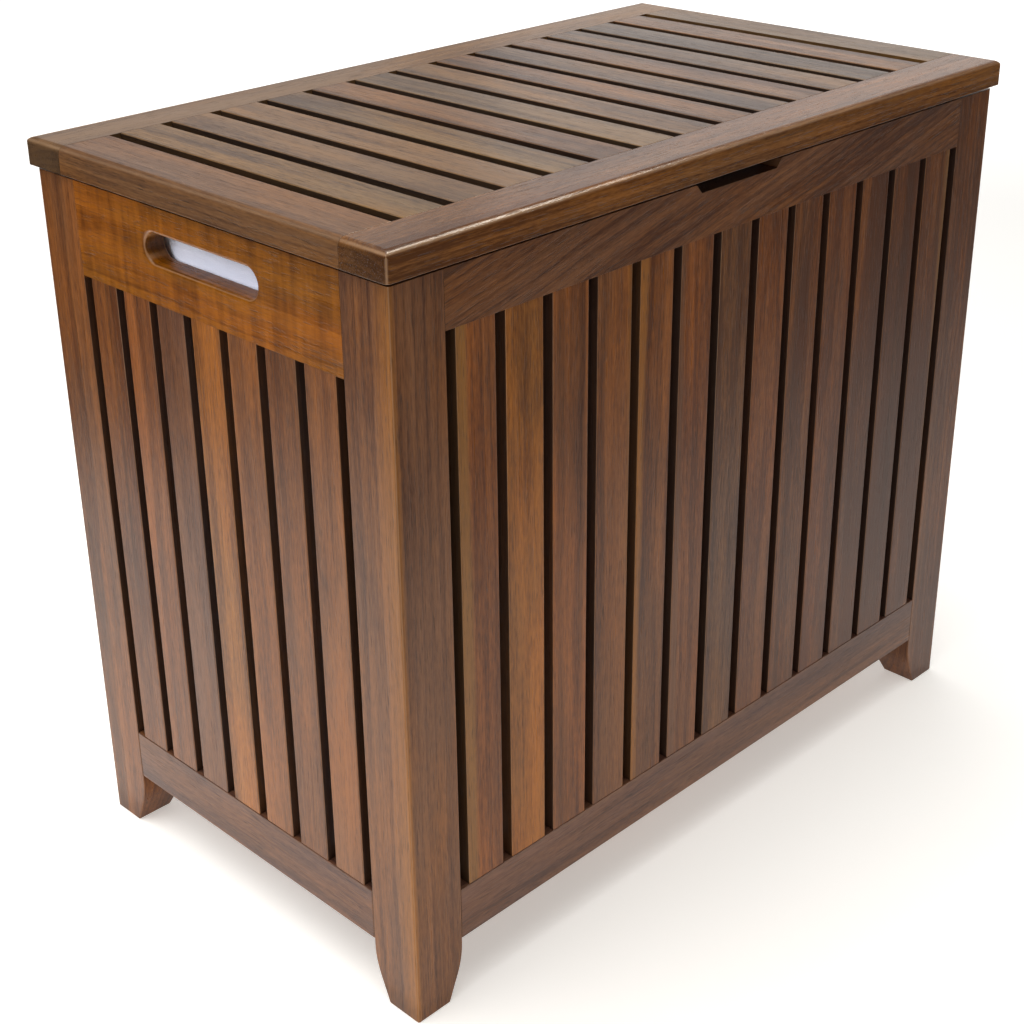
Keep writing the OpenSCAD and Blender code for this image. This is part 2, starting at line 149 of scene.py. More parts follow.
def bump(tree, height, strength, distance, **more):
    inputs = {"Strength": strength, "Distance": distance, "Height": height, **more}
    return add(tree, "ShaderNodeBump", inputs).outputs[0]


def group_tree(name, inputs, outputs):
    tree = bpy.data.node_groups.new(name, "ShaderNodeTree")
    for way, sockets in (("INPUT", inputs), ("OUTPUT", outputs)):
        for label, kind in sockets.items():
            tree.interface.new_socket(label, in_out=way, socket_type="NodeSocket" + kind)
    return tree, tree.nodes.new("NodeGroupInput").outputs, tree.nodes.new("NodeGroupOutput").inputs


def new_material(name, **constants):
    """A material, its node tree and its shader, with the constants set on the shader's own sockets."""
    material = bpy.data.materials.new(name)
    material.use_nodes = True
    tree = material.node_tree
    shader = tree.nodes["Principled BSDF"]
    for socket, value in constants.items():
        shader.inputs[socket.replace("_", " ")].default_value = value
    return material, tree, shader


def drive(tree, shader, tone, roughness=None, normal=None):
    """Links a shader's colour, and its roughness and normal if they are given."""
    for socket, value in (("Base Color", tone), ("Roughness", roughness), ("Normal", normal)):
        if value is not None:
            tree.links.new(value, shader.inputs[socket])


def place_in(tree):
    return tree.nodes.new("ShaderNodeTexCoord").outputs["Object"]


def colour(red, green, blue):
    return (red, green, blue, 1.0)


# ------------------------------------------------------------------ teak

RING_GAP = 4.2 * MM
SHEEN = 0.29  # specular level of the oiled wood
RUBBED = colour(0.50, 0.34, 0.22)  # towards which rubbed edges go
BAND_SHARE = 0.85  # how much of the wood a band of another tone takes over
GAP_SHADE_TONE = colour(0.022, 0.015, 0.013)  # painted shade, nearly black, in the narrow gaps, on the posts' inner faces and on the notch's floor
GAP_SHADE_SHARE = 0.8  # how much of the wood's colour the painted shade covers
SHADE_FADE = 3 * MM  # height over which the painted shade fades out
FACES = (0.80, 0.97)  # cosines between which a face comes to count as facing one way

# Wander of the grain, slow and quick: its waves per metre across, across and along the grain, and its reach
WANDER = (((7, 7, 1.6), 13 * MM), ((16, 16, 7), 4 * MM))

# Figure of the wood: its features per metre across, across and along the grain, and its detail and roughness
FIGURE = {
    "fibres": ((460, 460, 9), 3, 0.65),
    "hairs": ((1500, 1500, 30), 2, 0.5),
    "flecks": ((850, 850, 130), 2, 0.6),
    "pores": ((1250, 1250, 70), 1, 0.5),
    "mottle": ((22, 22, 3.2), 3, 0.6),
    "streaks": ((120, 120, 1.5), 2, 0.5),
    "curl": ((18, 18, 150), 2, 0.6),
    "patches": ((26, 26, 6), 2, 0.5),
    "veins": ((75, 75, 1.1), 2, 0.5),
}
# Levels of the figure between which each of these begins
BEGINS = {"pores": (0.59, 0.70), "veins": (0.57, 0.68), "patches": (0.36, 0.64)}

# Mean colour of each tone of oiled teak
TONES = {
    "frame": (0.150, 0.062, 0.026),
    "purple": (0.140, 0.062, 0.036),
    "honey": (0.212, 0.069, 0.003),
    "golden": (0.235, 0.086, 0.016),
    "red": (0.185, 0.064, 0.018),
    "brown": (0.168, 0.062, 0.019),
    "olive": (0.170, 0.074, 0.020),
    "grey": (0.145, 0.065, 0.029),
    "dark": (0.125, 0.052, 0.026),
    # The lid tones are darker than the wall tones, partly for the lid's own duller tone and partly as
    # painted shade that takes back some of the strong top light on the lid
    "lid": (0.115, 0.060, 0.027),
    "lid_olive": (0.115, 0.063, 0.026),
    "lid_grey": (0.100, 0.059, 0.032),
    "lid_red": (0.125, 0.058, 0.024),
    "lid_golden": (0.165, 0.070, 0.022),
}


def scaled(tone, red, green, blue):
    """The tone with its parts scaled."""
    return colour(*(a * b for a, b in zip(TONES[tone], (red, green, blue))))


def light_of(tone):
    return scaled(tone, 1.50, 1.56, 1.40)


def dark_of(tone):
    return scaled(tone, 0.50, 0.46, 0.52)


def vein_of(tone):
    return scaled(tone, 0.20, 0.22, 0.30)


def wandering(tree, place):
    """The place with the grain's wander added, which makes flames where the rings meet the face."""
    wavy = place
    for scale, reach in WANDER:
        wander = noise(tree, place, scale, output="Color")
        wander = vector_calc(tree, "SUBTRACT", wander, (0.5, 0.5, 0.5))
        wavy = vector_calc(tree, "ADD", wavy, vector_calc(tree, "MULTIPLY", wander, (reach, reach, 0)))
    return wavy


def growth_rings(tree, wavy, heart, fibres):
    """Rings round the heart: a chance tone for each ring, and how far each point is into its late wood."""
    from_heart = vector_calc(tree, "SUBTRACT", wavy, heart)
    from_heart = vector_calc(tree, "MULTIPLY", from_heart, (1, 1, 0))
    turns = calc(tree, "DIVIDE", vector_calc(tree, "LENGTH", from_heart), RING_GAP)
    turns = calc(tree, "MULTIPLY_ADD", fibres, 0.5, turns)
    phase = calc(tree, "FRACT", turns)  # late wood darkens through each ring and ends sharply
    late = calc(tree, "MULTIPLY", ramp(tree, phase, 0.35, 0.9), ramp(tree, phase, 0.92, 1.0, 1, 0))
    return chance(tree, calc(tree, "FLOOR", turns)), late


def wood_shade(tree, figure, ring_tone, late, given):
    """0 where the wood is light to 1 where it is dark. Each part of the figure is centred on a half."""
    coarse = given["Mottle"]
    weights = (
        (figure["mottle"], coarse),
        (figure["streaks"], calc(tree, "MULTIPLY", coarse, 0.5)),
        (figure["fibres"], calc(tree, "MULTIPLY_ADD", coarse, 0.3, 0.3)),
        (figure["hairs"], calc(tree, "MULTIPLY_ADD", coarse, 0.3, 0.3)),
        (figure["flecks"], calc(tree, "MULTIPLY_ADD", coarse, 0.4, 0.5)),
        (ring_tone, 0.16),
        (late, 0.28),
        (figure["curl"], given["Curl"]))
    shade = calc(tree, "ADD", given["Shade"], 0.52)
    for part, weight in weights:
        shade = calc(tree, "MULTIPLY_ADD", calc(tree, "SUBTRACT", part, 0.5), weight, shade)
    return shade


def with_band(tree, wood, wavy, shade, given):
    """The wood with a band of another tone on one side of the piece."""
    inside = vector_calc(tree, "DOT_PRODUCT", wavy, given["Band side"])
    inside = calc(tree, "ADD", inside, given["Band shift"])
    inside = calc(tree, "MULTIPLY", ramp(tree, inside, 0, 1), BAND_SHARE)
    band = mix(tree, shade, given["Band"], mix(tree, 0.45, given["Band"], given["Dark"]))
    return mix(tree, inside, wood, band)


def with_faces(tree, wood, mottle, given):
    """The wood with its end grain darker, because it drinks more oil, with painted shade on the faces in
    the gaps, and with its edges rubbed lighter."""
    facing = vector_calc(tree, "ABSOLUTE", given["Facing"])
    parts = split(tree, facing)
    end_grain = ramp(tree, parts[2], 0.75, 0.95)
    wood = mix(tree, calc(tree, "MULTIPLY", end_grain, 0.5), wood, given["Vein"])
    # painted shade: the faces that look into the narrow gaps go almost black
    cheek = ramp(tree, vector_calc(tree, "DOT_PRODUCT", facing, given["Cheek"]), *FACES, 0, GAP_SHADE_SHARE)
    wood = mix(tree, cheek, wood, GAP_SHADE_TONE)
    flatness = calc(tree, "MAXIMUM", parts[0], calc(tree, "MAXIMUM", parts[1], parts[2]))
    rubbed = ramp(tree, flatness, 0.90, 0.74)
    rubbed = calc(tree, "MULTIPLY", rubbed, ramp(tree, mottle, 0.3, 0.7, 0.25, 0.6))
    return mix(tree, rubbed, wood, mix(tree, 0.5, given["Light"], RUBBED))


def wood_relief(tree, figure, pores, late):
    """The height of the open grain."""
    height = calc(tree, "MULTIPLY_ADD", late, -0.25, figure["fibres"])
    for part, weight in ((figure["hairs"], 0.5), (figure["flecks"], 0.4), (pores, -0.8)):
        height = calc(tree, "MULTIPLY_ADD", part, weight, height)
    return height


def teak_group():
    """Oiled teak. Place and Facing have their third part along the grain. Cheek is the axis of the side
    faces that look into narrow gaps, where painted shade makes the wood almost black."""
    tree, given, made = group_tree(
        "teak",
        {"Place": "Vector", "Facing": "Vector", "Cheek": "Vector", "Heart": "Vector", "Light": "Color",
         "Dark": "Color", "Vein": "Color", "Veins": "Float", "Shade": "Float", "Curl": "Float",
         "Mottle": "Float", "Band": "Color", "Band side": "Vector", "Band shift": "Float"},
        {"Color": "Color", "Roughness": "Float", "Normal": "Vector"})
    wavy = wandering(tree, given["Place"])
    figure = {name: noise(tree, wavy, *look) for name, look in FIGURE.items()}
    pores, veins, patches = (ramp(tree, figure[name], *levels) for name, levels in BEGINS.items())
    ring_tone, late = growth_rings(tree, wavy, given["Heart"], figure["fibres"])
    shade = wood_shade(tree, figure, ring_tone, late, given)

    wood = mix(tree, shade, given["Light"], given["Dark"])
    warmth = mix(tree, patches, colour(1.16, 1.01, 0.74), colour(0.93, 0.92, 1.02))
    wood = mix(tree, 1.0, wood, warmth, "MULTIPLY")
    wood = with_band(tree, wood, wavy, shade, given)
    wood = mix(tree, calc(tree, "MULTIPLY", veins, given["Veins"]), wood, given["Vein"])
    wood = mix(tree, calc(tree, "MULTIPLY", pores, 0.42), wood, given["Vein"])
    wood = with_faces(tree, wood, figure["mottle"], given)

    roughness = calc(tree, "MULTIPLY_ADD", figure["fibres"], 0.24, 0.24)
    roughness = calc(tree, "MULTIPLY_ADD", pores, 0.12, roughness)
    relief = bump(tree, wood_relief(tree, figure, pores, late), 0.6, 0.12 * MM)
    for label, value in (("Color", wood), ("Roughness", roughness), ("Normal", relief)):
        tree.links.new(value, made[label])
    return tree


TEAK = teak_group()

# Which of x, y and z go across, across and along the grain
GRAIN = {"X": (1, 2, 0), "Y": (2, 0, 1), "Z": (0, 1, 2)}


def along_grain(tree, vector, grain):
    """The vector with its parts reordered so that the third runs along the grain."""
    parts = split(tree, vector)
    return add(tree, "ShaderNodeCombineXYZ", {k: parts[GRAIN[grain][k]] for k in range(3)}).outputs[0]


def teak(name, grain, tone, seed, centre, heart, veins, shade=0.0, curl=0.0, mottle=1.5, lean=0.0,
         polish=0.85, cheek=(0, 0), band=None, band_side=(0, 0), band_at=0):
    """Teak for one piece, whose seed gives it wood of its own. heart is where its rings are centred, in mm
    across the grain from the piece's centre. veins is the strength of dark veins, shade darkens above 0,
    curl is the strength of ripples across the grain and mottle that of the coarse figure. lean tilts the
    grain, and polish scales the roughness. cheek is the axis across the grain whose faces look into narrow
    gaps. A band of another tone begins band_at mm from the centre, and band_side points across the grain
    into it; its length is one over the softness of its edge in mm."""
    material, tree, shader = new_material(name, IOR=1.46, Specular_IOR_Level=SHEEN)
    coords = tree.nodes.new("ShaderNodeTexCoord").outputs
    shift = Vector((0.037, 0.059, 0.71)) * seed
    middle = Vector([centre[k] for k in GRAIN[grain]]) + shift
    side = Vector((*band_side, 0)) / MM
    place = along_grain(tree, coords["Object"], grain)
    climb = vector_calc(tree, "MULTIPLY", (0, lean, 0), split(tree, place)[2])
    place = vector_calc(tree, "ADD", vector_calc(tree, "ADD", place, climb), shift)
    inputs = {
        "Place": place, "Facing": along_grain(tree, coords["Normal"], grain), "Cheek": (*cheek, 0),
        "Heart": middle + Vector((*heart, 0)) * MM, "Curl": curl, "Mottle": mottle, "Shade": shade,
        "Light": light_of(tone), "Dark": dark_of(tone), "Vein": vein_of(tone), "Veins": veins,
        "Band": light_of(band or tone), "Band side": side,
        "Band shift": -side.dot(middle) - side.length * band_at * MM if band else -1.0}
    wood = add(tree, "ShaderNodeGroup", inputs, node_tree=TEAK)
    roughness = calc(tree, "MULTIPLY", wood.outputs["Roughness"], polish)
    drive(tree, shader, wood.outputs["Color"], roughness, wood.outputs["Normal"])
    return material


# ------------------------------------------------------------------ edges of the wooden pieces

SHARP = math.cos(math.radians(28))  # of the angle from which an edge is rounded
FLAT = math.radians(0.5)  # up to which faces are joined into one
WELD = 0.002 * MM
ALONG = 0.9  # cosine from which an edge counts as running along the grain
ARRIS = 0.9 * MM  # rounding of exposed edges along the grain
POST_ARRIS = 1.8 * MM  # rounding of the outer upright edges of the posts
SEAM = 0.3 * MM  # rounding of edges that meet another piece
ARRIS_STEPS = 3
FOOT_SHARE = 0.45  # of POST_ARRIS, for the edges of the feet
OUTER_REACH = 4 * MM  # a post's outer upright edge lies within this of its outer corner


def edge_key(mesh, edge):
    ends = [tuple(round(x * 1e6) for x in mesh.vertices[v].co) for v in edge]
    return tuple(sorted(ends))


def sharp_edges(mesh):
    """The mesh's sharp edges by their ends, although the mesh is split along them."""
    normals = {}
    for face in mesh.polygons:
        for edge in face.edge_keys:
            normals.setdefault(edge_key(mesh, edge), []).append(face.normal)
    return {k for k, n in normals.items() if len(n) == 2 and n[0].dot(n[1]) < SHARP}


def soften(piece, width, share):
    """Rounds a piece's sharp edges to width times share(middle, direction), with modifiers only."""
    mesh = piece.data
    sharp = sharp_edges(mesh)
    weights = mesh.attributes.new("bevel_weight_edge", "FLOAT", "EDGE")
    for edge in mesh.edges:
        if edge_key(mesh, edge.vertices[:]) not in sharp:
            continue
        start, end = (mesh.vertices[v].co for v in edge.vertices)
        weights.data[edge.index].value = share((start + end) / 2, (end - start).normalized())
    if "custom_normal" in mesh.attributes:
        mesh.attributes.remove(mesh.attributes["custom_normal"])
    for face in mesh.polygons:
        face.use_smooth = True
    weld = piece.modifiers.new("weld", "WELD")
    weld.merge_threshold = WELD
    planar = piece.modifiers.new("planar", "DECIMATE")
    planar.decimate_type = "DISSOLVE"
    planar.angle_limit = FLAT
    bevel = piece.modifiers.new("bevel", "BEVEL")
    bevel.limit_method = "WEIGHT"
    bevel.width = width
    bevel.segments = ARRIS_STEPS
    normals = piece.modifiers.new("normals", "WEIGHTED_NORMAL")
    normals.weight = 80


def dress(name, material):
    """Gives a CAD node this material alone."""
    materials = nodes[name].data.materials
    materials.clear()
    materials.append(material)


def finish_bar(name, grain, material, seam_share=SEAM / ARRIS):
    """A slat or rail: its edges along the grain are rounded more than those at its ends."""
    soften(nodes[name], ARRIS, lambda middle, way: 1.0 if abs(way.dot(AXES[grain])) > ALONG else seam_share)
    dress(name, material)


def centre_of(name):
    low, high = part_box(name)
    return (low + high) / 2


# ------------------------------------------------------------------ slats

# Looks of the slats, from the left to the right of the front wall and of the lid, and from the rear to the
# front of the left wall, in the terms of teak()
# Towards the right end of the front wall the shades rise, partly for the wood's own tone and partly as
# painted shade where less light falls
FRONT_SLATS = [
    dict(tone="red", shade=-0.10, veins=0.5, heart=(-30, 40), band="olive", band_side=(-0.25, 0), band_at=4),
    dict(tone="golden", shade=-0.12, veins=0.05, heart=(4, 90)),
    dict(tone="red", shade=0.08, veins=0.35, heart=(-20, 70)),
    dict(tone="brown", shade=0.20, veins=0.3, heart=(6, 60), band="golden", band_side=(0.15, 0), band_at=10),
    dict(tone="brown", shade=0.28, veins=0.2, heart=(0, 22), band="golden", band_side=(-0.3, 0), band_at=8),
    dict(tone="red", shade=0.15, veins=0.3, heart=(25, 45), band="dark", band_side=(-0.4, 0), band_at=10),
    dict(tone="grey", shade=0.25, veins=0.2, heart=(10, 80)),
    dict(tone="red", shade=0.20, veins=0.15, heart=(-8, 50)),
    dict(tone="brown", shade=0.35, veins=0.2, heart=(3, 30)),
    dict(tone="red", shade=0.48, veins=0.25, heart=(-15, 60)),
    dict(tone="brown", shade=0.56, veins=0.2, heart=(12, 75)),
    dict(tone="brown", shade=0.62, veins=0.3, heart=(-6, 40)),
    dict(tone="brown", shade=0.60, veins=0.2, heart=(0, 60), band="olive", band_side=(0.3, 0), band_at=10),
]
LEFT_SLATS = [
    dict(tone="brown", shade=0.15, veins=0.4, heart=(60, 10)),
    dict(tone="red", shade=0.12, veins=0.1, heart=(50, -8)),
    dict(tone="dark", shade=0.03, veins=0.3, heart=(80, 5)),
    dict(tone="golden", shade=0.03, veins=0.05, heart=(45, 0)),
    dict(tone="brown", shade=-0.18, veins=0.2, heart=(30, 3)),
    dict(tone="brown", shade=0.10, veins=0.3, heart=(70, -5)),
    dict(tone="brown", shade=-0.08, veins=0.1, heart=(90, 4)),
]
LID_SLATS = [
    dict(tone="lid_olive", shade=0.05, veins=0.2, heart=(-60, 5)),
    dict(tone="lid", shade=-0.05, veins=0.2, heart=(-80, -6)),
    dict(tone="lid", shade=-0.05, veins=0.2, heart=(-50, 0)),
    dict(tone="lid_olive", shade=-0.15, veins=0.25, heart=(-90, 8)),
    dict(tone="lid_red", shade=0.15, veins=0.2, heart=(-70, 4)),
    dict(tone="lid_grey", shade=-0.05, veins=0.2, heart=(-45, 3)),
    dict(tone="lid", shade=0.08, veins=0.2, heart=(-60, -10)),
    # slats 8 to 11 are shaded more, partly as painted shade that takes back light which the right-hand soft
    # box throws on them
    dict(tone="lid_red", shade=0.37, veins=0.4, heart=(-80, 0)),
    dict(tone="lid", shade=0.34, veins=0.3, heart=(-40, 6)),
    dict(tone="lid_red", shade=0.22, veins=0.3, heart=(-70, -4)),
    dict(tone="lid", shade=0.24, veins=0.2, heart=(-90, 0)),
    dict(tone="lid_grey", shade=0.15, veins=0.4, heart=(-55, 5)),
    dict(tone="lid_red", shade=-0.10, veins=0.2, heart=(-60, 0)),
]
LID_MOTTLE = 2.6  # the lid's slats have a coarser figure than the walls'


def finish_slats(prefix, grain, looks, seed, **shared):
    for i, look in enumerate(looks, start=1):
        name = f"{prefix}_{i}"
        material = teak(f"teak_{name}", grain, seed=seed + i, centre=centre_of(name), **shared, **look)
        finish_bar(name, grain, material)


finish_slats("slat_front", "Z", FRONT_SLATS, seed=10, cheek=(1, 0))
finish_slats("slat_left", "Z", LEFT_SLATS, seed=40, cheek=(0, 1))
finish_slats("lid_slat", "Y", LID_SLATS, seed=60, cheek=(0, 1), mottle=LID_MOTTLE)

# Rows of slats in one node: grain, axis from slat to slat, cheek as in teak(), and how many slats
ROWS = {
    "slats_rear": ("Z", "X", (1, 0), 13),
    "slats_right": ("Z", "Y", (0, 1), 7),
    "floor_slats": ("Y", "X", (0, 1), 9),
}
ROW_TONES = ("grey", "red", "brown", "golden", "dark", "red", "olive")
SLAT_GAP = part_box("slat_front_2")[0].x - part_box("slat_front_1")[1].x


def pick_tone(tree, number, part):
    """One of the row's tones, by a number from 0 to 1."""
    tones = add(tree, "ShaderNodeValToRGB", {0: number})
    tones.color_ramp.interpolation = "CONSTANT"
    points = tones.color_ramp.elements
    points[0].color = part(ROW_TONES[0])
    points[1].position = 1 / len(ROW_TONES)
    points[1].color = part(ROW_TONES[1])
    for k in range(2, len(ROW_TONES)):
        points.new(k / len(ROW_TONES)).color = part(ROW_TONES[k])
    return tones.outputs[0]


def finish_row(name, grain, across, cheek, count, seed):
    """A row of slats in one node, each in its own tone."""
    material = teak(
        f"teak_{name}", grain, "brown", seed, centre_of(name), heart=(5, 60), veins=0.2, cheek=cheek)
    low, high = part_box(name)
    axis = "XYZ".index(across)
    pitch = (high[axis] - low[axis] + SLAT_GAP) / count
    tree = material.node_tree
    wood = next(n for n in tree.nodes if n.type == "GROUP")
    number = calc(tree, "ROUND", calc(tree, "DIVIDE", split(tree, place_in(tree))[axis], pitch))
    number = chance(tree, calc(tree, "ADD", number, seed))
    for label, part in (("Light", light_of), ("Dark", dark_of)):
        tree.links.new(pick_tone(tree, number, part), wood.inputs[label])
    finish_bar(name, grain, material)


for seed, (name, row) in enumerate(ROWS.items(), start=81):
    finish_row(name, *row, seed)

# ------------------------------------------------------------------ rails and posts

RAILS = {
    "top_rail_front": dict(tone="frame", shade=0.14, veins=0.4, heart=(30, 20), lean=-0.25),
    "top_rail_rear": dict(tone="frame", shade=0.0, veins=0.2, heart=(-40, 30)),
    "top_rail_left": dict(tone="honey", shade=0.0, veins=0.1, heart=(5, 40), curl=1.4, mottle=0.3),
    "top_rail_right": dict(tone="honey", shade=0.1, veins=0.1, heart=(-8, -40), curl=1.4, mottle=0.3),
    "bottom_rail_front": dict(tone="purple", shade=0.15, veins=0.2, heart=(60, 10)),
    "bottom_rail_rear": dict(tone="frame", shade=0.0, veins=0.1, heart=(-60, 20)),
    "bottom_rail_left": dict(tone="purple", shade=0.15, veins=0.2, heart=(12, 60)),
    "bottom_rail_right": dict(tone="brown", shade=0.0, veins=0.1, heart=(10, -60)),
}
LID_RAILS = {
    "lid_rail_front": dict(tone="lid_golden", shade=0.16, polish=0.65, veins=0.25, heart=(10, -70)),
    "lid_rail_rear": dict(tone="lid", shade=-0.2, veins=0.15, heart=(-10, -60)),
    "lid_rail_left": dict(tone="lid_red", shade=0.1, veins=0.25, heart=(-70, 10)),
    "lid_rail_right": dict(tone="lid_olive", shade=-0.1, veins=0.1, heart=(-60, -8)),
}
POSTS = {
    "post_front_left": dict(tone="frame", shade=-0.03, veins=0.3, heart=(40, 40),
                            band="golden", band_side=(-0.15, -0.04), band_at=19),
    # its high shade is partly the wood's own tone and partly painted shade, for the light that falls off
    # towards the right of the front
    "post_front_right": dict(tone="brown", shade=0.42, veins=0.2, heart=(-50, 30)),
    "post_rear_left": dict(tone="brown", shade=0.12, veins=0.3, heart=(60, 20)),
    "post_rear_right": dict(tone="frame", shade=0.0, veins=0.15, heart=(-40, -40)),
}
NOTCH_SPAN = (12 * MM, 1 * MM)  # below the front rail's top, round the floor of its notch
NOTCH_SHARE = 0.6


def finish_rails(looks, first_seed):
    for seed, (name, look) in enumerate(looks.items(), start=first_seed):
        grain = "X" if name.endswith(("front", "rear")) else "Y"
        finish_bar(name, grain, teak(f"teak_{name}", grain, seed=seed, centre=centre_of(name), **look), 1.0)


def darken_inside(material, inside, low, high, share):
    """Paints shade, nearly black, on the faces that look the way inside, between the heights low and high,
    by that share.
    """
    tree = material.node_tree
    coords = tree.nodes.new("ShaderNodeTexCoord").outputs
    socket = tree.nodes["Principled BSDF"].inputs["Base Color"]
    height = split(tree, coords["Object"])[2]
    painted_shade = ramp(tree, vector_calc(tree, "DOT_PRODUCT", coords["Normal"], inside), *FACES, 0, share)
    painted_shade = calc(tree, "MULTIPLY", painted_shade, ramp(tree, height, low, low + SHADE_FADE))
    painted_shade = calc(tree, "MULTIPLY", painted_shade, ramp(tree, height, high, high - SHADE_FADE))
    tree.links.new(mix(tree, painted_shade, socket.links[0].from_socket, GAP_SHADE_TONE), socket)


def finish_post(name, look, seed):
    """A post: its outer upright edge is rounded most, and edges that meet the rails least."""
    low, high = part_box(name)
    centre = (low + high) / 2
    outer = Vector([high[k] if centre[k] > 0 else low[k] for k in range(2)])
    foot_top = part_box("bottom_rail_front")[0].z

    def share(middle, way):
        if abs(way.z) > 0.5 and (Vector(middle[:2]) - outer).length < OUTER_REACH:
            return 1.0
        return FOOT_SHARE if middle.z < foot_top else SEAM / POST_ARRIS

    soften(nodes[name], POST_ARRIS, share)
    material = teak(f"teak_{name}", "Z", seed=seed, centre=centre, **look)
    # painted shade on the post's inner faces, from under the bottom rails up to the top rails, where they
    # look into the gaps beside the slats
    for axis, rail in enumerate(("top_rail_front", "top_rail_left")):
        inside = Vector((0, 0, 0))
        inside[axis] = -math.copysign(1, centre[axis])
        darken_inside(material, inside, foot_top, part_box(rail)[0].z, GAP_SHADE_SHARE)
    dress(name, material)


def darken_notch():
    """Darkens the floor of the finger notch, which lies in the lid's shadow."""
    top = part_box("top_rail_front")[1].z
    material = nodes["top_rail_front"].data.materials[0]
    darken_inside(material, (0, 0, 1), top - NOTCH_SPAN[0], top - NOTCH_SPAN[1], NOTCH_SHARE)


finish_rails(RAILS, 90)
finish_rails(LID_RAILS, 100)
for seed, (name, look) in enumerate(POSTS.items(), start=110):
    finish_post(name, look, seed)
darken_notch()

# ------------------------------------------------------------------ metal and rubber


def brass():
    """Brushed brass with a little tarnish."""
    material, tree, shader = new_material("brass", Metallic=1.0)
    place = place_in(tree)
    tarnish = noise(tree, place, 260, detail=4)
    brushed = noise(tree, place, (300, 4000, 4000))
    tone = mix(tree, ramp(tree, tarnish, 0.4, 0.75), colour(0.62, 0.43, 0.18), colour(0.40, 0.26, 0.11))
    roughness = calc(tree, "MULTIPLY_ADD", tarnish, 0.25, 0.22)
    drive(tree, shader, tone, roughness, bump(tree, brushed, 0.10, 0.02 * MM))
    return material


def rubber():
    """Black rubber with a fine matt grain."""
    material, tree, shader = new_material("rubber", Specular_IOR_Level=0.35)
    grain = noise(tree, place_in(tree), 2500, detail=3)
    tone = mix(tree, grain, colour(0.030, 0.028, 0.027), colour(0.075, 0.070, 0.066))
    roughness = calc(tree, "MULTIPLY_ADD", grain, 0.25, 0.6)
    drive(tree, shader, tone, roughness, bump(tree, grain, 0.4, 0.05 * MM))
    return material


def finish_small(names, material, width):
    for name in names:
        soften(nodes[name], width, lambda middle, way: 1.0)
        dress(name, material)


BRASS = brass()
finish_small(["hinge_leaves_body", "hinge_leaves_lid", "hinge_pins"], BRASS, 0.2 * MM)
finish_small(["hinge_screws_body", "hinge_screws_lid", "bag_studs"], BRASS, 0.1 * MM)
finish_small(["lid_bumpers"], rubber(), 0.5 * MM)

# ------------------------------------------------------------------ cloth of the bag

THREAD = 0.7 * MM  # from one thread of the canvas to the next


def cotton():
    """Plain-woven cotton canvas, blue-white, with slubs in the threads, creases and a soft fuzz."""
    material, tree, shader = new_material(
        "cotton_canvas", Specular_IOR_Level=0.2, Sheen_Weight=0.25, Sheen_Roughness=0.5)
    cloth = add(tree, "ShaderNodeUVMap", uv_map="cloth").outputs[0]
    solid = place_in(tree)
    bend = vector_calc(tree, "SUBTRACT", noise(tree, cloth, 90, output="Color"), (0.5, 0.5, 0.5))
    cloth = vector_calc(tree, "ADD", cloth, vector_calc(tree, "MULTIPLY", bend, (0.6 * MM, 0.6 * MM, 0)))
    threads = split(tree, vector_calc(tree, "MULTIPLY", cloth, (1 / THREAD,) * 3))
    waves = [calc(tree, "SINE", calc(tree, "MULTIPLY", threads[k], math.pi)) for k in (0, 1)]
    ridges = [calc(tree, "ABSOLUTE", wave) for wave in waves]
    steps = calc(tree, "ADD", calc(tree, "FLOOR", threads[0]), calc(tree, "FLOOR", threads[1]))
    over = calc(tree, "FLOORED_MODULO", steps, 2.0)
    weave = mix(tree, over, *ridges)
    slub = mix(tree, over, noise(tree, cloth, (30, 1300, 1)), noise(tree, cloth, (1300, 30, 1)))
    wash = noise(tree, solid, 9, detail=3)
    tone = mix(tree, ramp(tree, wash, 0.3, 0.7), colour(0.78, 0.80, 0.90), colour(0.86, 0.87, 0.94))
    tone = mix(tree, ramp(tree, slub, 0.52, 0.75, 0.0, 0.35), tone, colour(0.66, 0.66, 0.74))
    # painted shade in the hollows between the threads of the weave
    tone = mix(tree, ramp(tree, weave, 0.0, 0.5, 0.22, 0.0), tone, colour(0.42, 0.42, 0.50))
    creases = noise(tree, solid, (26, 26, 40), detail=4, roughness=0.6)
    relief = bump(tree, creases, 0.35, 1.2 * MM, Normal=bump(tree, weave, 0.5, 0.15 * MM))
    drive(tree, shader, tone, calc(tree, "MULTIPLY_ADD", slub, 0.2, 0.75), relief)
    return material


def thread():
    """Twisted sewing thread."""
    material, tree, shader = new_material("thread", Specular_IOR_Level=0.3, Sheen_Weight=0.2)
    twist = noise(tree, place_in(tree), (2600, 2600, 3800))
    # darker where the twist's relief is low: painted shade in its grooves
    tone = mix(tree, ramp(tree, twist, 0.35, 0.65), colour(0.58, 0.58, 0.66), colour(0.88, 0.88, 0.93))
    roughness = calc(tree, "MULTIPLY_ADD", twist, 0.3, 0.5)
    drive(tree, shader, tone, roughness, bump(tree, twist, 0.5, 0.1 * MM))
    return material


COTTON = cotton()
STITCHING = thread()

# ------------------------------------------------------------------ shape of the bag

BAG_CORNER_SUM = 385 * MM  # the CAD bag's corners are cut where |x| + |y| reaches this
BAG_WALL = 2.0 * MM  # the CAD bag's wall, whose middle the cloth follows
CLOTH_THICK = 0.9 * MM
HEM_THICK = 2.0 * MM
HEM_DEPTH = 40 * MM
CLOTH_STEP = 8 * MM  # side of the cloth's squares
STUD_DROP = 10 * MM  # from the bag's rim down to its studs
FRONT_STUDS = (-200 * MM, 0, 200 * MM)
END_STUDS = (-92 * MM, 92 * MM)
STITCH_STEP, STITCH_LENGTH, STITCH_RADIUS = 4.6 * MM, 3.2 * MM, 0.34 * MM
BASE_SEAM_RADIUS, CORNER_SEAM_RADIUS = 1.1 * MM, 0.9 * MM

